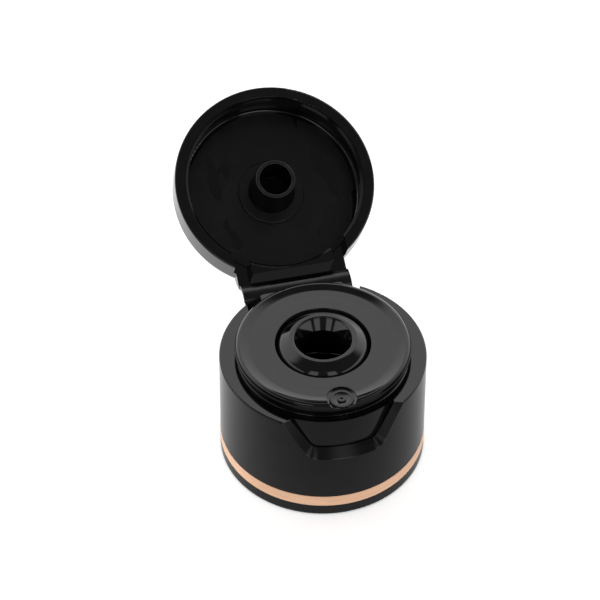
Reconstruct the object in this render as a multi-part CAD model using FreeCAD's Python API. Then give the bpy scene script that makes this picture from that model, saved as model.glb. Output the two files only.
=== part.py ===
"""Flip top dispensing closure: a screw base, a flush lid and the moulded strap hinge that joins them.

Frame: +Z is up along the neck axis, the origin is on that axis at the foot of the skirt, the thumb
recess faces -Y and the hinge is at +Y. Everything is drawn shut, and the moving pieces are then
swung open about the three film lines of the strap. Lengths are millimetres, angles degrees.
"""
import FreeCAD, Part
import math
import os

V = FreeCAD.Vector

# Base: skirts and shoulder
cap_radius = 15.5
shoulder_height = 18.7
skirt_wall = 1.1
shoulder_thickness = 1.2
edge_round = 0.25
neck_radius = 12.15            # bore for a 24 mm neck, at the root of its thread
neck_bore_length = 15.5        # above this the bore steps in round the seals
neck_step = 0.3
neck_skirt_wall = 0.85

# Base: deck, moat and spout
deck_height = 20.95
deck_thickness = 1.2
deck_bead_radius = 13.2
deck_bead_depth = 0.35         # how far the bead stands out from the wall under it
deck_bead_height = 1.35
deck_edge_round = 0.8
moat_radius = 7.2
moat_depth = 1.35
moat_slope = 0.55
moat_floor = 1.1
lip_radius = 4.7
lip_height = 1.0               # above the deck
lip_width = 0.75
flank_radius = 5.85
funnel_radius = 3.9
funnel_depth = 1.85            # from the lip's crest down to its foot
funnel_foot = 0.5              # slope from the funnel into the orifice
orifice_wall = 0.9
orifice_length = 2.3
mark_radius = 2.25
mark_offset = 11.55
mark_depth = 0.3

# Base: sealing on the bottle
land_height = 17.2             # where the bottle's lip stops
land_radius = 10.6
ring_wall = 0.8
plug_ring_radius = 8.7
plug_ring_length = 1.5         # below the land

# Thumb recess
recess_depth = 1.47
recess_floor = 13.4
recess_half_width = 7.9
recess_lean = 31.0             # of its sides, from vertical
recess_corner = 1.0
recess_step = 0.15             # upright foot of the sloped border round its back

# Foil line
foil_low = 1.97
foil_width = 1.96
foil_thickness = 0.08
foil_proud = 0.02

# Lid
lid_height = 6.5
lid_edge_round = 2.0
lid_rim_width = 1.75
lid_top_wall = 0.92
lid_corner_round = 0.35
lid_gap = 0.1                  # rim to shoulder when shut
lid_bead_clearance = 0.2       # lid bead to deck bead
lid_bead_low = 0.45
lid_bead_height = 0.8
plug_radius = 3.07
plug_wall = 0.6
plug_root_radius = 3.45
plug_reach = 1.0               # tip of the plug below the rim
plug_clearance = 0.22
plug_tip_round = 0.2
pad_radius = 5.1
pad_height = 0.4

# Hinge
hinge_reach = 14.75            # film lines, from the neck axis
hinge_height = 17.9            # middle film line when shut
strap_half_length = 3.3        # from one film line to the next
strap_half_width = 8.5
strap_inner_cover = 0.1        # material inside the film lines
strap_thickness = 0.7
strap_bevel = 46.0             # of each panel end, so that the strap can fold flat back
strap_bevel_start = 0.05       # outside the film lines
film_gap = 0.16
slot_half_length = 4.05
slot_width = 0.45
notch_clearance = 0.35         # beside the strap
notch_face = 14.15             # straight back of the notch, from the neck axis
side_notch_half = 6.4          # outside this the notch cuts the whole wall
side_notch_radius = 13.35
boss_height = 2.2
boss_slope = 1.6               # of its far end, back into the wall
open_angle = 151.4
middle_share = 0.5             # of the opening that the middle film line takes

# Worked out from the sizes above
deck_wall_radius = deck_bead_radius - deck_bead_depth
neck_skirt_radius = neck_radius + neck_skirt_wall
orifice_radius = plug_radius + plug_clearance
lip_top = deck_height + lip_height
lid_rim = shoulder_height + lid_gap
lid_top = lid_rim + lid_height
lid_inner_radius = cap_radius - lid_rim_width
lid_ceiling = lid_top - lid_top_wall
recess_radius = cap_radius - recess_depth
film_low = hinge_height - strap_half_length
film_high = hinge_height + strap_half_length
strap_inner = hinge_reach - strap_inner_cover
strap_outer = strap_inner + strap_thickness
notch_half_width = strap_half_width + notch_clearance
notch_floor = film_low - film_gap / 2
notch_ceiling = film_high + film_gap / 2
middle_angle = open_angle * middle_share
end_angle = (open_angle - middle_angle) / 2
beyond = 2 * cap_radius        # a length that clears the whole closure
overlap = 0.1                  # how far one solid runs into another that it is fused to


def rounded_wire(corners, place):
    """Closed wire through corners (u, v, radius); place(u, v) puts a corner in space."""
    edges = []
    ends = []
    count = len(corners)
    for index in range(count):
        u, v, radius = corners[index]
        before = corners[index - 1]
        after = corners[(index + 1) % count]
        to_before = V(before[0] - u, before[1] - v, 0).normalize()
        to_after = V(after[0] - u, after[1] - v, 0).normalize()
        corner = V(u, v, 0)
        if radius <= 0:
            ends.append((corner, corner))
            continue
        half = to_before.getAngle(to_after) / 2
        inward = (to_before + to_after).normalize()
        reach = radius / math.tan(half)
        start = corner + to_before * reach
        end = corner + to_after * reach
        middle = corner + inward * (radius / math.sin(half) - radius)
        ends.append((start, end))
        edges.append(Part.Arc(place(start), place(middle), place(end)).toShape())
    for index in range(count):
        start = ends[index - 1][1]
        end = ends[index][0]
        if (end - start).Length > 1e-6:
            edges.append(Part.makeLine(place(start), place(end)))
    return Part.Wire(Part.__sortEdges__(edges))


def turned(corners):
    """Solid of revolution about the neck axis from corners (radius, height, rounding)."""
    wire = rounded_wire(corners, lambda p: V(p.x, 0, p.y))
    return Part.Face(wire).revolve(V(0, 0, 0), V(0, 0, 1), 360)


def slab(low, high):
    """Box between two opposite corners."""
    size = V(*high) - V(*low)
    return Part.makeBox(size.x, size.y, size.z, V(*low))


def ring(inner, outer, low, high):
    """Plain ring about the neck axis."""
    tube = Part.makeCylinder(outer, high - low, V(0, 0, low))
    return tube.cut(Part.makeCylinder(inner, high - low, V(0, 0, low)))


def skirts_and_deck():
    """The whole base as one turned section, from the foot round the deck to the neck bore."""
    deck_under = deck_height - deck_thickness
    moat_base = deck_height - moat_depth
    moat_under = moat_base - moat_floor
    bead_low = deck_height - deck_bead_height
    funnel_base = lip_top - funnel_depth
    orifice_top = funnel_base - funnel_foot
    orifice_low = orifice_top - orifice_length
    tube_radius = orifice_radius + orifice_wall
    seal_low = land_height - plug_ring_length
    shoulder_under = shoulder_height - shoulder_thickness
    inner_face = cap_radius - skirt_wall
    return turned([
        (cap_radius, 0, edge_round),
        (cap_radius, shoulder_height, edge_round),
        (deck_wall_radius, shoulder_height, 0.1),
        (deck_wall_radius, bead_low, 0),
        (deck_bead_radius, bead_low + deck_bead_depth, 0.15),
        (deck_bead_radius, deck_height, deck_edge_round),
        (moat_radius, deck_height, 0.15),
        (moat_radius - moat_slope, moat_base, 0.5),
        (flank_radius, moat_base, 0.6),
        (lip_radius + lip_width / 2, lip_top, 0.3),
        (lip_radius - lip_width / 2, lip_top, 0.25),
        (funnel_radius, funnel_base, 0),
        (orifice_radius, orifice_top, 0),
        (orifice_radius, orifice_low, 0.15),
        (tube_radius, orifice_low, 0.15),
        (tube_radius, moat_under, 0.2),
        (moat_radius + 0.4, moat_under, 0.3),
        (moat_radius + 0.4, deck_under, 0.2),
        (plug_ring_radius, deck_under, 0),
        (plug_ring_radius, seal_low, 0.2),
        (plug_ring_radius + ring_wall, seal_low, 0.2),
        (plug_ring_radius + ring_wall, deck_under, 0),
        (land_radius, deck_under, 0),
        (land_radius, land_height, 0.2),
        (land_radius + ring_wall, land_height, 0.2),
        (land_radius + ring_wall, deck_under, 0),
        (neck_radius - neck_step, deck_under, 0),
        (neck_radius - neck_step, neck_bore_length, 0),
        (neck_radius, neck_bore_length, 0),
        (neck_radius, 0, 0),
        (neck_skirt_radius, 0, 0),
        (neck_skirt_radius, shoulder_under, 0),
        (inner_face, shoulder_under, 0),
        (inner_face, 0, 0.2),
    ])


def recess_outline(widen, top):
    """Face of the recess as seen from the front, widened all round and drawn up to a height."""
    lean = math.tan(math.radians(recess_lean))
    low = recess_floor - widen
    level = recess_half_width + widen / math.cos(math.radians(recess_lean))
    high_half = level + lean * (top - shoulder_height)
    low_half = level - lean * (shoulder_height - low)
    corner = recess_corner + widen
    corners = [(-high_half, top, 0), (-low_half, low, corner), (low_half, low, corner), (high_half, top, 0)]
    return Part.Face(rounded_wire(corners, lambda p: V(p.x, -beyond, p.y)))


def recess_block(widen, inner, outer, top):
    """Stretch of a ring between two radii that lies behind the recess outline."""
    prism = recess_outline(widen, top).extrude(V(0, beyond - recess_corner, 0))
    return prism.common(ring(inner, outer, 0, top))


def recess_cutter():
    """The recess with its sloped border, taken out of a plain drum."""
    drum_radius = cap_radius + 0.5
    drum_top = shoulder_height + 3
    drum = Part.makeCylinder(drum_radius, drum_top)
    pocketed = drum.cut(recess_block(0, recess_radius, drum_radius + 1, drum_top))
    lips = []
    for edge in pocketed.Edges:
        middle = edge.valueAt((edge.FirstParameter + edge.LastParameter) / 2)
        on_face = abs(math.hypot(middle.x, middle.y) - drum_radius) < 0.01
        if on_face and edge.BoundBox.ZMin > 0.1 and middle.z < drum_top - 0.1 and middle.y < -0.1:
            lips.append(edge)
    border = drum_radius - recess_radius - recess_step
    return drum.cut(pocketed.makeChamfer(border, lips))


def with_thumb_recess(base):
    """Recess under the lid's front edge, backed by its own wall between the two skirts."""
    shoulder_under = shoulder_height - shoulder_thickness
    backing = recess_block(skirt_wall + recess_depth, neck_skirt_radius - overlap,
                           cap_radius - skirt_wall + overlap, shoulder_under + overlap)
    return base.fuse(backing).cut(recess_cutter())


def boss(face, end, wall_middle):
    """Block on a wall that carries one end of the strap; its far end slopes back into the wall."""
    inner = strap_outer - skirt_wall - boss_slope
    slope = math.copysign(boss_slope, end - face)
    profile = [(inner, face), (strap_outer, face), (strap_outer, end - slope),
               (strap_outer - boss_slope, end), (inner, end)]
    points = [V(-strap_half_width, y, z) for y, z in profile]
    block = Part.Face(Part.makePolygon(points + points[:1])).extrude(V(2 * strap_half_width, 0, 0))
    return block.cut(Part.makeCylinder(wall_middle, beyond))


def notch(low, high, clear_radius):
    """Space for the strap in a wall: a straight face behind it, and the whole wall at each side."""
    middle = slab((-notch_half_width, notch_face, low), (notch_half_width, beyond, high))
    sides = slab((-notch_half_width, 0, low), (notch_half_width, beyond, high))
    sides = sides.cut(slab((-side_notch_half, 0, low), (side_notch_half, beyond, high)))
    sides = sides.cut(Part.makeCylinder(clear_radius, high - low, V(0, 0, low)))
    return middle.fuse(sides)


def notch_backing():
    """Wall behind the base's notch, from the neck skirt out to the notch's straight face."""
    half = notch_half_width + skirt_wall
    low = notch_floor - boss_height
    high = shoulder_height - shoulder_thickness + overlap
    sector = ring(neck_skirt_radius - overlap, cap_radius - skirt_wall + overlap, low, high)
    return sector.common(slab((-half, 0, low), (half, beyond, high)))


def make_base():
    base = with_thumb_recess(skirts_and_deck())
    base = base.fuse(notch_backing())
    base = base.fuse(boss(notch_floor, notch_floor - boss_height, cap_radius - skirt_wall / 2))
    base = base.cut(notch(notch_floor, beyond, side_notch_radius))
    base = base.cut(foil_line(cap_radius + recess_depth))
    mark = Part.makeCylinder(mark_radius, 2 * mark_depth, V(0, -mark_offset, deck_height - mark_depth))
    return base.cut(mark).removeSplitter()


def foil_line(outer):
    """Ring at the foil's place, from the floor of its groove out to a radius."""
    return ring(cap_radius + foil_proud - foil_thickness, outer, foil_low, foil_low + foil_width)


def make_foil_band():
    """Stamped foil line, seated in its groove round the foot of the skirt."""
    return foil_line(cap_radius + foil_proud)


def make_lid():
    """Lid as it lies shut: a turned cup with the hollow plug hanging from its pad."""
    pad_face = lid_ceiling - pad_height
    plug_tip = lid_rim - plug_reach
    bead_radius = deck_bead_radius + lid_bead_clearance
    bead_low = lid_rim + lid_bead_low
    bead_high = bead_low + lid_bead_height
    bead_run = (lid_inner_radius - bead_radius) * 0.8
    lid = turned([
        (0, lid_top, 0),
        (cap_radius, lid_top, lid_edge_round),
        (cap_radius, lid_rim, edge_round),
        (lid_inner_radius, lid_rim, 0.2),
        (lid_inner_radius, bead_low, 0),
        (bead_radius, bead_low + bead_run, 0),
        (bead_radius, bead_high - bead_run, 0),
        (lid_inner_radius, bead_high, 0),
        (lid_inner_radius, lid_ceiling, lid_corner_round),
        (pad_radius, lid_ceiling, 0),
        (pad_radius, pad_face, 0.15),
        (plug_root_radius, pad_face, 0.2),
        (plug_radius, plug_tip, plug_tip_round),
        (plug_radius - plug_wall, plug_tip, plug_tip_round),
        (plug_radius - plug_wall, pad_face, 0.2),
        (0, pad_face, 0),
    ])
    lid = lid.fuse(boss(notch_ceiling, notch_ceiling + boss_height, cap_radius - lid_rim_width / 2))
    return lid.cut(notch(0, notch_ceiling, lid_inner_radius - 0.5)).removeSplitter()


def strap_panel(low_film, high_film):
    """One stiff panel of the strap, bevelled outside its film lines so that it can fold back."""
    low = low_film + film_gap / 2
    high = high_film - film_gap / 2
    bevel = hinge_reach + strap_bevel_start
    rise = (strap_outer - bevel) * math.tan(math.radians(strap_bevel))
    profile = [(strap_inner, low), (bevel, low), (strap_outer, low + rise),
               (strap_outer, high - rise), (bevel, high), (strap_inner, high)]
    points = [V(-strap_half_width, y, z) for y, z in profile]
    panel = Part.Face(Part.makePolygon(points + points[:1])).extrude(V(2 * strap_half_width, 0, 0))
    return panel.cut(strap_slot())


def strap_slot():
    """Slot along the middle film line, which parts the strap into two wings."""
    half = slot_width / 2
    return slab((-slot_half_length, 0, hinge_height - half), (slot_half_length, beyond, hinge_height + half))


def swung(shape, turns):
    """Shape swung open about film lines, each (height when shut, angle), the nearest to it first."""
    for height, angle in turns:
        shape.rotate(V(0, hinge_reach, height), V(-1, 0, 0), angle)
    return shape


def build():
    low_turn = (film_low, end_angle)
    middle_turn = (hinge_height, middle_angle)
    high_turn = (film_high, end_angle)
    return {
        "base": make_base(),
        "foil_band": make_foil_band(),
        "strap_lower": swung(strap_panel(film_low, hinge_height), [low_turn]),
        "strap_upper": swung(strap_panel(hinge_height, film_high), [middle_turn, low_turn]),
        "lid": swung(make_lid(), [high_turn, middle_turn, low_turn]),
    }


os.makedirs("parts", exist_ok=True)
for name, shape in build().items():
    solids = shape.Solids
    print(name, "solids", len(solids), "valid", shape.isValid(), "volume", round(shape.Volume, 2))
    (solids[0] if len(solids) == 1 else shape).exportStep("parts/" + name + ".step")
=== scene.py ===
import bpy
import bmesh
import math
from mathutils import Matrix, Vector


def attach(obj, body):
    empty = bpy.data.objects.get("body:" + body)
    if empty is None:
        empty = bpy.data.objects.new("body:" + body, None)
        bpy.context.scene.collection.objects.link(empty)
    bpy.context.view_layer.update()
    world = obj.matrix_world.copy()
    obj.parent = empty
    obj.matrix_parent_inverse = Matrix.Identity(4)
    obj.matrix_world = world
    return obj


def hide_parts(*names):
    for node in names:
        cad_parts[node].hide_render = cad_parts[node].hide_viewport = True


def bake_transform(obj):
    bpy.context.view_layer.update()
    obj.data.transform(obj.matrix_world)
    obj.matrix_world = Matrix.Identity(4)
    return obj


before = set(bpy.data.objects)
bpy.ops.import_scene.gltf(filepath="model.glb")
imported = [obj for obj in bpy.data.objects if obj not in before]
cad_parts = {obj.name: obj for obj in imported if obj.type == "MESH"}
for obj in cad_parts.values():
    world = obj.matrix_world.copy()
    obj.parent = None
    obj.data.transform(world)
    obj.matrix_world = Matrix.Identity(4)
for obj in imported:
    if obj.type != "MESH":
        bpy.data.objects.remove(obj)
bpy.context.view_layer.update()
scene = bpy.context.scene
mm = 0.001


# ---------------------------------------------------------------------------------------------
# Base and lid: polypropylene, injection moulded in one shot with the strap between them. The
# outside comes glossy black off a polished tool, with slow ripples over the ribs behind it; the
# lid's ceiling and its plug come satin off a plain core, with a few glossy flow marks.

def new_group(name, inputs, outputs):
    """Empty shader node group with float inputs {name: default} and float outputs."""
    group = bpy.data.node_groups.new(name, "ShaderNodeTree")
    for label, value in inputs.items():
        socket = group.interface.new_socket(label, in_out="INPUT", socket_type="NodeSocketFloat")
        socket.default_value = value
    for label in outputs:
        group.interface.new_socket(label, in_out="OUTPUT", socket_type="NodeSocketFloat")
    return group, group.nodes.new("NodeGroupInput"), group.nodes.new("NodeGroupOutput")


def feed(tree, socket, value):
    """Give a node's input a number or another node's output."""
    if isinstance(value, (int, float)):
        socket.default_value = value
    else:
        tree.links.new(value, socket)


def noise(tree, vector, scale, detail=2.0, rough=0.5):
    """Noise texture on a vector."""
    node = tree.nodes.new("ShaderNodeTexNoise")
    node.inputs["Detail"].default_value = detail
    node.inputs["Roughness"].default_value = rough
    tree.links.new(vector, node.inputs["Vector"])
    feed(tree, node.inputs["Scale"], scale)
    return node.outputs["Fac"]


def spread(tree, value, low, high, to_low, to_high, curve="SMOOTHSTEP"):
    """Value mapped from one range to another, and held at its ends."""
    node = tree.nodes.new("ShaderNodeMapRange")
    node.interpolation_type = curve
    tree.links.new(value, node.inputs["Value"])
    for label, number in (("From Min", low), ("From Max", high), ("To Min", to_low), ("To Max", to_high)):
        feed(tree, node.inputs[label], number)
    return node.outputs["Result"]


def calc(tree, operation, first, second=0.0):
    """One Math node; either side may be a number or a socket."""
    node = tree.nodes.new("ShaderNodeMath")
    node.operation = operation
    feed(tree, node.inputs[0], first)
    feed(tree, node.inputs[1], second)
    return node.outputs[0]


def placed(tree, centre=(0, 0, 0), lean=0.0, scale=(1, 1, 1)):
    """Object coordinates seen from a centre, with the frame leant back about X."""
    node = tree.nodes.new("ShaderNodeMapping")
    node.vector_type = "TEXTURE"
    node.inputs["Location"].default_value = centre
    node.inputs["Rotation"].default_value = (lean, 0, 0)
    node.inputs["Scale"].default_value = scale
    tree.links.new(tree.nodes.new("ShaderNodeTexCoord").outputs["Object"], node.inputs["Vector"])
    return node.outputs["Vector"]


def around(tree, vector):
    """Distance from the vector's own Z axis, and height along it."""
    parts = tree.nodes.new("ShaderNodeSeparateXYZ")
    tree.links.new(vector, parts.inputs[0])
    flat = tree.nodes.new("ShaderNodeCombineXYZ")
    tree.links.new(parts.outputs["X"], flat.inputs["X"])
    tree.links.new(parts.outputs["Y"], flat.inputs["Y"])
    length = tree.nodes.new("ShaderNodeVectorMath")
    length.operation = "LENGTH"
    tree.links.new(flat.outputs[0], length.inputs[0])
    return length.outputs["Value"], parts.outputs["Z"]


def bumped(shader, tree, height, distance, strength=1.0):
    """Add a height field to a shader's normal, over any bump that it has already."""
    bump = tree.nodes.new("ShaderNodeBump")
    bump.inputs["Distance"].default_value = distance
    bump.inputs["Strength"].default_value = strength
    tree.links.new(height, bump.inputs["Height"])
    if shader.inputs["Normal"].links:
        tree.links.new(shader.inputs["Normal"].links[0].from_socket, bump.inputs["Normal"])
    tree.links.new(bump.outputs["Normal"], shader.inputs["Normal"])


skin, skin_in, skin_out = new_group(
    "moulded_skin", {"Ripple Size": 120.0, "Ripple": 1.0, "Grain": 1.0, "Gloss": 0.08, "Dust": 1.0},
    ("Shade", "Roughness", "Height"))
here = skin.nodes.new("ShaderNodeTexCoord").outputs["Object"]
ripple = noise(skin, here, skin_in.outputs["Ripple Size"], 1.0)
grain = noise(skin, here, 5200.0, 3.0, 0.6)
flow = noise(skin, here, 420.0)
specks = spread(skin, noise(skin, here, 2600.0, 1.0), 0.735, 0.76, 0.0, skin_in.outputs["Dust"])
skin.links.new(calc(skin, "ADD", spread(skin, flow, 0.3, 0.7, 0.0, 0.3), specks), skin_out.inputs["Shade"])
haze = calc(skin, "ADD", skin_in.outputs["Gloss"], spread(skin, flow, 0.35, 0.75, 0.0, 0.03))
skin.links.new(calc(skin, "ADD", haze, calc(skin, "MULTIPLY", specks, 0.2)), skin_out.inputs["Roughness"])
swell = calc(skin, "MULTIPLY", ripple, skin_in.outputs["Ripple"])
fine = calc(skin, "MULTIPLY", grain, calc(skin, "MULTIPLY", skin_in.outputs["Grain"], 0.004))
skin.links.new(calc(skin, "ADD", swell, fine), skin_out.inputs["Height"])


def moulded(name, ripple_depth, gloss=0.06, grain=1.0, dust=0.25):
    """Black moulded plastic; ripple_depth is the height of a full ripple in metres."""
    material = bpy.data.materials.new(name)
    material.use_nodes = True
    tree = material.node_tree
    shader = tree.nodes["Principled BSDF"]
    shader.inputs["IOR"].default_value = 1.5
    group = tree.nodes.new("ShaderNodeGroup")
    group.name = "skin"
    group.node_tree = skin
    for label, value in (("Grain", grain), ("Gloss", gloss), ("Dust", dust)):
        group.inputs[label].default_value = value
    tint = tree.nodes.new("ShaderNodeMix")
    tint.data_type = "RGBA"
    tint.inputs["A"].default_value = (0.0018, 0.0018, 0.0019, 1)
    tint.inputs["B"].default_value = (0.0090, 0.0090, 0.0094, 1)
    tree.links.new(group.outputs["Shade"], tint.inputs["Factor"])
    tree.links.new(tint.outputs["Result"], shader.inputs["Base Color"])
    tree.links.new(group.outputs["Roughness"], shader.inputs["Roughness"])
    bumped(shader, tree, group.outputs["Height"], ripple_depth)
    return material


def wear(piece, material):
    """The piece takes one material all over."""
    piece.data.materials.clear()
    piece.data.materials.append(material)


black = moulded("moulded_black", 0.02 * mm)

# the deck is dished: its border slopes up to the edge, and it has sunk a little over the seal's wall
base_black = moulded("base_black", 0.02 * mm)
tree = base_black.node_tree
radius, height = around(tree, placed(tree))
on_deck = spread(tree, height, 20.5 * mm, 20.9 * mm, 0.0, 1.0)
border = calc(tree, "POWER", spread(tree, radius, 10.95 * mm, 12.4 * mm, 0.0, 1.0, "LINEAR"), 1.4)
border = calc(tree, "MULTIPLY", border, on_deck)
bumped(tree.nodes["Principled BSDF"], tree, border, 0.43 * mm)
sunk = calc(tree, "MULTIPLY", spread(tree, radius, 8.9 * mm, 9.7 * mm, 1.0, 0.0), on_deck)
sunk = calc(tree, "ADD", sunk, spread(tree, radius, 9.7 * mm, 10.6 * mm, 0.0, 1.0))
bumped(tree.nodes["Principled BSDF"], tree, sunk, 0.012 * mm)
# the mark's disc is dished; the wall under the deck's bead and the recess's slopes come rougher and reflect less,
# painted shade under the bead and in the recess
from_mark = around(tree, placed(tree, (0, -11.55 * mm, 0)))[0]
dish = calc(tree, "POWER", spread(tree, from_mark, 0.0, 2.25 * mm, 0.0, 1.0, "LINEAR"), 2.0)
bumped(tree.nodes["Principled BSDF"], tree, dish, 0.36 * mm)
dull_painted_shade = calc(tree, "MULTIPLY", spread(tree, radius, 13.22 * mm, 13.28 * mm, 1.0, 0.0),
            spread(tree, height, 18.8 * mm, 18.9 * mm, 0.0, 1.0))
dull_painted_shade = calc(tree, "MULTIPLY", dull_painted_shade, spread(tree, height, 20.1 * mm, 20.25 * mm, 1.0, 0.0))
dull_painted_shade = calc(tree, "MULTIPLY", dull_painted_shade, spread(tree, radius, 12.3 * mm, 12.4 * mm, 0.0, 0.3))
# the recess's slopes reflect less: painted shade in the recess
slope = calc(tree, "MULTIPLY", spread(tree, radius, 14.08 * mm, 14.14 * mm, 0.0, 1.0),
             spread(tree, radius, 15.42 * mm, 15.48 * mm, 1.0, 0.0))
slope = calc(tree, "MULTIPLY", slope, spread(tree, height, 18.55 * mm, 18.65 * mm, 0.3, 0.0))
dull_painted_shade = calc(tree, "MAXIMUM", dull_painted_shade, slope)
tree.links.new(calc(tree, "ADD", calc(tree, "MULTIPLY", dull_painted_shade, 0.6), 0.06), tree.nodes["skin"].inputs["Gloss"])
tree.links.new(calc(tree, "SUBTRACT", 0.5, dull_painted_shade), tree.nodes["Principled BSDF"].inputs["Specular IOR Level"])
wear(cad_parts["base"], base_black)

# the lid's own frame: its rim's centre, leant back by what is left of a half turn
lid_centre = (0, 31.60 * mm, 25.055 * mm)
lid_lean = math.radians(180 - 151.4)
lid_black = moulded("lid_black", 0.02 * mm)
tree = lid_black.node_tree
radius, height = around(tree, placed(tree, lid_centre, lid_lean))
inside = spread(tree, height, -6.1 * mm, -6.0 * mm, 0.0, 1.0)
satin = calc(tree, "MULTIPLY", spread(tree, radius, 12.9 * mm, 13.2 * mm, 1.0, 0.0), inside)
off_middle = tree.nodes.new("ShaderNodeSeparateXYZ")
tree.links.new(placed(tree), off_middle.inputs[0])
off_middle = calc(tree, "ABSOLUTE", off_middle.outputs["X"])
marks = noise(tree, placed(tree, lid_centre, lid_lean, (0.9, 2.2, 1.0)), 330.0, 1.5)
marks = calc(tree, "MULTIPLY", spread(tree, marks, 0.56, 0.59, 0.0, 1.0),
             spread(tree, off_middle, 5.5 * mm, 6.5 * mm, 0.0, 1.0))
core = calc(tree, "SUBTRACT", 0.30, calc(tree, "MULTIPLY", marks, 0.27))
tree.links.new(calc(tree, "ADD", 0.06, calc(tree, "MULTIPLY", satin, core)), tree.nodes["skin"].inputs["Gloss"])
# the drafted wall and the plug's sides reflect less: painted shade in the lid's hollow
wall = calc(tree, "MULTIPLY", spread(tree, radius, 13.2 * mm, 13.3 * mm, 0.0, 1.0),
            spread(tree, radius, 13.85 * mm, 14.0 * mm, 1.0, 0.0))
wall = calc(tree, "MULTIPLY", wall, spread(tree, height, -5.0 * mm, -4.6 * mm, 0.0, 1.0))
plug = calc(tree, "MULTIPLY", spread(tree, radius, 3.6 * mm, 3.7 * mm, 1.0, 0.0),
            spread(tree, height, 0.7 * mm, 0.8 * mm, 1.0, 0.0))
plug = calc(tree, "MULTIPLY", plug, inside)
dull_painted_shade = calc(tree, "MULTIPLY", calc(tree, "MAXIMUM", wall, plug), 0.38)
tree.links.new(calc(tree, "SUBTRACT", 0.5, dull_painted_shade), tree.nodes["Principled BSDF"].inputs["Specular IOR Level"])
wear(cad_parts["lid"], lid_black)


# ---------------------------------------------------------------------------------------------
# Spout collar and mark: the moulding's broad rounded lip round the spout, with its conical mouth
# and the groove left round it, and the low relief on the disc at the deck's front edge.

def rounded(corners, steps=8):
    """Points along a closed outline of corners (radius, height, rounding)."""
    points = []
    for index, (r, z, rounding) in enumerate(corners):
        corner = Vector((r, z))
        to_before = (Vector(corners[index - 1][:2]) - corner).normalized()
        to_after = (Vector(corners[(index + 1) % len(corners)][:2]) - corner).normalized()
        half = to_before.angle(to_after) / 2
        centre = corner + (to_before + to_after).normalized() * rounding / math.sin(half)
        start = corner + to_before * rounding / math.tan(half) - centre
        end = corner + to_after * rounding / math.tan(half) - centre
        count = steps if rounding else 0
        for step in range(count + 1):
            share = step / max(count, 1)
            arm = start.lerp(end, share)
            points.append(centre + arm.normalized() * rounding if rounding else corner)
    return points


def finished(bm, name, material):
    """Link a bmesh as a smooth piece in black plastic."""
    bmesh.ops.recalc_face_normals(bm, faces=bm.faces)
    mesh = bpy.data.meshes.new(name)
    bm.to_mesh(mesh)
    bm.free()
    mesh.shade_smooth()
    piece = bpy.data.objects.new(name, mesh)
    scene.collection.objects.link(piece)
    wear(piece, material)
    return piece


def turned(name, corners, centre=(0, 0), steps=144):
    """Ring turned about an upright axis through a centre."""
    bm = bmesh.new()
    row = [bm.verts.new((centre[0] + p.x * mm, centre[1], p.y * mm)) for p in rounded(corners)]
    edges = [bm.edges.new(pair) for pair in zip(row, row[1:] + row[:1])]
    bmesh.ops.spin(bm, geom=row + edges, cent=(*centre, 0), axis=(0, 0, 1), dvec=(0, 0, 0),
                   angle=math.tau, steps=steps, use_merge=True, use_duplicate=False)
    return finished(bm, name, black)


moat_level = 19.6
moat_fill = 0.35                 # the moat's floor over the solid's
bore_radius = 3.29
lip_level = 21.97
collar = turned("spout_collar", [
    (bore_radius, moat_level - 0.2, 0), (bore_radius, moat_level + 0.55, 0.3), (4.42, lip_level, 0.3),
    (5.05, lip_level, 0.6), (6.7, lip_level - 1.07, 1.9), (6.95, moat_level + moat_fill, 0.05),
    (7.0, moat_level + moat_fill, 0), (7.0, moat_level - 0.2, 0)])

# the mark's place holds two plain raised rings
mark_centre = (0, -11.55 * mm)
mark_level = 20.65
mark = turned("mark_rings", [(1.3, mark_level - 0.1, 0), (1.3, mark_level + 0.16, 0.07),
                             (1.75, mark_level + 0.16, 0.07), (1.75, mark_level - 0.1, 0)], mark_centre, 72)
dot = turned("mark_dot", [(0.2, mark_level - 0.1, 0), (0.2, mark_level + 0.16, 0.07),
                          (0.65, mark_level + 0.16, 0.07), (0.65, mark_level - 0.1, 0)], mark_centre, 48)
for piece in (collar, mark, dot):
    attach(piece, "base")


# ---------------------------------------------------------------------------------------------
# Neck thread: the right-handed ridge moulded inside the neck skirt, a turn and a half and its
# tapered ends, which draws the closure down on a 24 mm bottle neck.

thread_pitch = 3.175 * mm
thread_turns = 1.75
thread_low = 6.0 * mm
thread_root = 12.25 * mm
thread_crest = 11.1 * mm
steps_a_turn = 96
taper_steps = 12
bm = bmesh.new()
ridge = [(thread_root, -0.85 * mm), (thread_crest, -0.25 * mm), (thread_crest, 0.25 * mm), (thread_root, 0.85 * mm)]
row = [bm.verts.new((r, 0, thread_low + z)) for r, z in ridge]
edges = [bm.edges.new(pair) for pair in zip(row, row[1:] + row[:1])]
thread_steps = round(steps_a_turn * thread_turns)
bmesh.ops.spin(bm, geom=row + edges, cent=(0, 0, 0), axis=(0, 0, 1), angle=math.tau * thread_turns,
               dvec=(0, 0, thread_pitch / steps_a_turn), steps=thread_steps, use_duplicate=False)
bm.verts.ensure_lookup_table()
for index, vert in enumerate(bm.verts):
    step = index // len(ridge)
    fade = min(1.0, step / taper_steps, (thread_steps - step) / taper_steps)
    reach = vert.co.xy.length
    vert.co.xy *= (thread_root - (thread_root - reach) * fade) / reach
thread = finished(bm, "neck_thread", black)
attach(thread, "base")


# ---------------------------------------------------------------------------------------------
# Strap: the same plastic, thin enough to bow. It leaves the boss on the base, turns over through
# one even curve and runs into the boss on the lid, with a slot along its crest.

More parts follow.
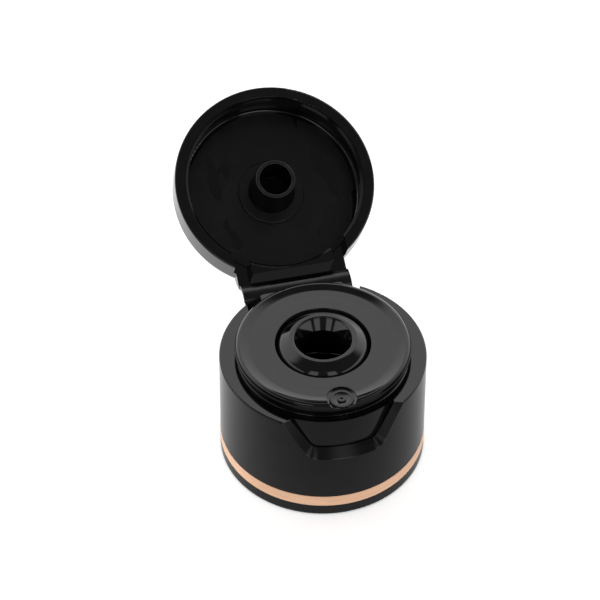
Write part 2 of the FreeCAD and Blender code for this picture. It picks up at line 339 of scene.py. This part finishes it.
strap_black = moulded("strap_black", 0.02 * mm, gloss=0.26)
strap_start = Vector((0, 15.0 * mm, 14.5 * mm))
bow_radius = 2.42 * mm
bow_turn = math.radians(151.4)
strap_half_width = 8.45 * mm
slot_half = 4.05 * mm
strap_thickness = 0.6 * mm
bow_steps = 60
slot_step = 39                   # the slot's middle, level with the shoulder when the lid is shut
slot_steps = 4
bow_centre = strap_start + Vector((0, bow_radius, 0))


def bow_point(step):
    """Point on the strap's middle surface, so many steps round the bow."""
    angle = math.pi - bow_turn * step / bow_steps
    return bow_centre + Vector((0, math.cos(angle), math.sin(angle))) * bow_radius


def bowed_strip(name, first, last):
    """Stretch of the strap between two steps of the bow, with its part of the slot left out."""
    bm = bmesh.new()
    across = [-strap_half_width, -slot_half, slot_half, strap_half_width]
    start = bow_point(first)
    row = [bm.verts.new((x, start.y, start.z)) for x in across]
    edges = [bm.edges.new(pair) for pair in zip(row, row[1:])]
    bmesh.ops.spin(bm, geom=row + edges, cent=bow_centre, axis=(1, 0, 0), dvec=(0, 0, 0),
                   angle=-bow_turn * (last - first) / bow_steps, steps=last - first, use_duplicate=False)
    slot_middle = bow_point(slot_step)
    reach = bow_radius * bow_turn * slot_steps / 2 / bow_steps
    opened = [f for f in bm.faces if abs(f.calc_center_median().x) < slot_half / 2
              and (f.calc_center_median() - slot_middle).yz.length < reach]
    bmesh.ops.delete(bm, geom=opened, context="FACES")
    bmesh.ops.recalc_face_normals(bm, faces=bm.faces)
    bmesh.ops.solidify(bm, geom=bm.faces[:], thickness=strap_thickness)
    mesh = bpy.data.meshes.new(name)
    bm.to_mesh(mesh)
    bm.free()
    piece = bpy.data.objects.new(name, mesh)
    scene.collection.objects.link(piece)
    wear(piece, strap_black)
    return piece


low_cut = bow_steps // 4         # the outer film lines take a quarter of the turn each
high_cut = bow_steps - low_cut
root = bowed_strip("strap_root", 0, low_cut)
bow = bowed_strip("strap_bow", low_cut, high_cut)
tail = bowed_strip("strap_tail", high_cut, bow_steps)
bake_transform(root)
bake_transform(bow)
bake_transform(tail)
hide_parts("strap_lower", "strap_upper")


# ---------------------------------------------------------------------------------------------
# Foil line: hot-stamped rose-gold foil under a thin lacquer, pressed into the skirt just above
# its foot, with a faint grain along the line from the stamping roll.

foil = bpy.data.materials.new("stamped_foil")
foil.use_nodes = True
tree = foil.node_tree
shader = tree.nodes["Principled BSDF"]
shader.inputs["Metallic"].default_value = 0.45
shader.inputs["Roughness"].default_value = 0.34
streaks = noise(tree, placed(tree, scale=(1, 1, 0.04)), 90.0, 3.0)
tint = tree.nodes.new("ShaderNodeMix")
tint.data_type = "RGBA"
tint.inputs["A"].default_value = (0.90, 0.53, 0.33, 1)
tint.inputs["B"].default_value = (0.98, 0.62, 0.41, 1)
tree.links.new(spread(tree, streaks, 0.35, 0.65, 0.0, 1.0), tint.inputs["Factor"])
tree.links.new(tint.outputs["Result"], shader.inputs["Base Color"])
bumped(shader, tree, noise(tree, placed(tree), 3000.0), 0.004 * mm)
wear(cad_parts["foil_band"], foil)


# ---------------------------------------------------------------------------------------------
# Studio: pale floor that keeps a soft contact shadow, white sweep behind, soft boxes in front.

def plane(name, size):
    """Square stage plane at the floor."""
    bm = bmesh.new()
    bmesh.ops.create_grid(bm, x_segments=1, y_segments=1, size=size / 2)
    piece = finished(bm, name, black)
    return piece


floor = plane("floor", 4.0)
paper = bpy.data.materials.new("floor_paper")
paper.use_nodes = True
tree = paper.node_tree
tree.nodes.remove(tree.nodes["Principled BSDF"])
here = placed(tree)
axes = tree.nodes.new("ShaderNodeSeparateXYZ")
tree.links.new(here, axes.inputs[0])
from_axis = around(tree, here)[0]
# the floor's glow is cut off under the cap's footprint: painted shade inside the cap, seen down the bore
outside = spread(tree, from_axis, 15.0 * mm, 15.8 * mm, 0.0, 1.0)
glow = tree.nodes.new("ShaderNodeEmission")
tree.links.new(calc(tree, "MULTIPLY", outside, 0.62), glow.inputs["Strength"])
sheet = tree.nodes.new("ShaderNodeBsdfDiffuse")
sheet.inputs["Color"].default_value = (0.85, 0.85, 0.85, 1)
seen = tree.nodes.new("ShaderNodeAddShader")
tree.links.new(glow.outputs[0], seen.inputs[0])
tree.links.new(sheet.outputs[0], seen.inputs[1])
path = tree.nodes.new("ShaderNodeLightPath")
mirrored = tree.nodes.new("ShaderNodeEmission")
# seen in reflections the floor darkens towards the front, painted shade from the cap; diffuse rays see it six times
# as bright, painted light on the foil
depth = spread(tree, axes.outputs["Y"], -40 * mm, 60 * mm, 0.24, 1.1)
depth = calc(tree, "MULTIPLY", depth, calc(tree, "ADD", 1.0, calc(tree, "MULTIPLY", path.outputs["Is Diffuse Ray"], 5.0)))
tree.links.new(calc(tree, "MULTIPLY", depth, outside), mirrored.inputs["Strength"])
pick = tree.nodes.new("ShaderNodeMixShader")
tree.links.new(path.outputs["Is Camera Ray"], pick.inputs[0])
tree.links.new(mirrored.outputs[0], pick.inputs[1])
tree.links.new(seen.outputs[0], pick.inputs[2])
tree.links.new(pick.outputs[0], tree.nodes["Material Output"].inputs["Surface"])
wear(floor, paper)

world = bpy.data.worlds.new("studio")
scene.world = world
world.use_nodes = True
tree = world.node_tree
back = tree.nodes["Background"]
back.inputs["Color"].default_value = (1, 1, 1, 1)
axis = tree.nodes.new("ShaderNodeSeparateXYZ")
tree.links.new(tree.nodes.new("ShaderNodeTexCoord").outputs["Generated"], axis.inputs[0])
east, north, up = axis.outputs
# a white sweep behind, two soft boxes on each side of the camera, and a dim ceiling
sweep = calc(tree, "MULTIPLY", spread(tree, north, 0.0, 0.3, 0.0, 1.0), spread(tree, up, 0.80, 0.92, 1.0, 0.0))
level = calc(tree, "POWER", calc(tree, "SUBTRACT", 1.0001, calc(tree, "MULTIPLY", up, up)), 0.5)
aside = calc(tree, "ADD", calc(tree, "MULTIPLY", east, 0.973), calc(tree, "MULTIPLY", north, -0.231))
aside = calc(tree, "DIVIDE", calc(tree, "ABSOLUTE", aside), level)
inner = calc(tree, "MULTIPLY", spread(tree, aside, 0.18, 0.24, 0.0, 1.0), spread(tree, aside, 0.52, 0.58, 1.0, 0.0))
outer = calc(tree, "MULTIPLY", spread(tree, aside, 0.66, 0.74, 0.0, 1.0), spread(tree, up, 0.35, 0.50, 1.0, 0.0))
boxes = calc(tree, "MULTIPLY", calc(tree, "ADD", inner, outer), spread(tree, up, 0.02, 0.12, 0.0, 1.0))
boxes = calc(tree, "MULTIPLY", boxes, spread(tree, up, 0.72, 0.84, 1.0, 0.0))
bright = calc(tree, "MULTIPLY", calc(tree, "MAXIMUM", sweep, boxes), 1.3)
tree.links.new(calc(tree, "ADD", bright, 0.15), back.inputs["Strength"])

camera = bpy.data.objects.new("camera", bpy.data.cameras.new("camera"))
camera.data.lens = 205.45
camera.data.sensor_width = 36
camera.data.clip_start = 0.01
camera.location = (-86.506 * mm, -344.461 * mm, 386.092 * mm)
camera.rotation_euler = [math.radians(a) for a in (44.9167, -0.1723, -13.3671)]
scene.collection.objects.link(camera)
scene.camera = camera
scene.view_settings.view_transform = "Standard"
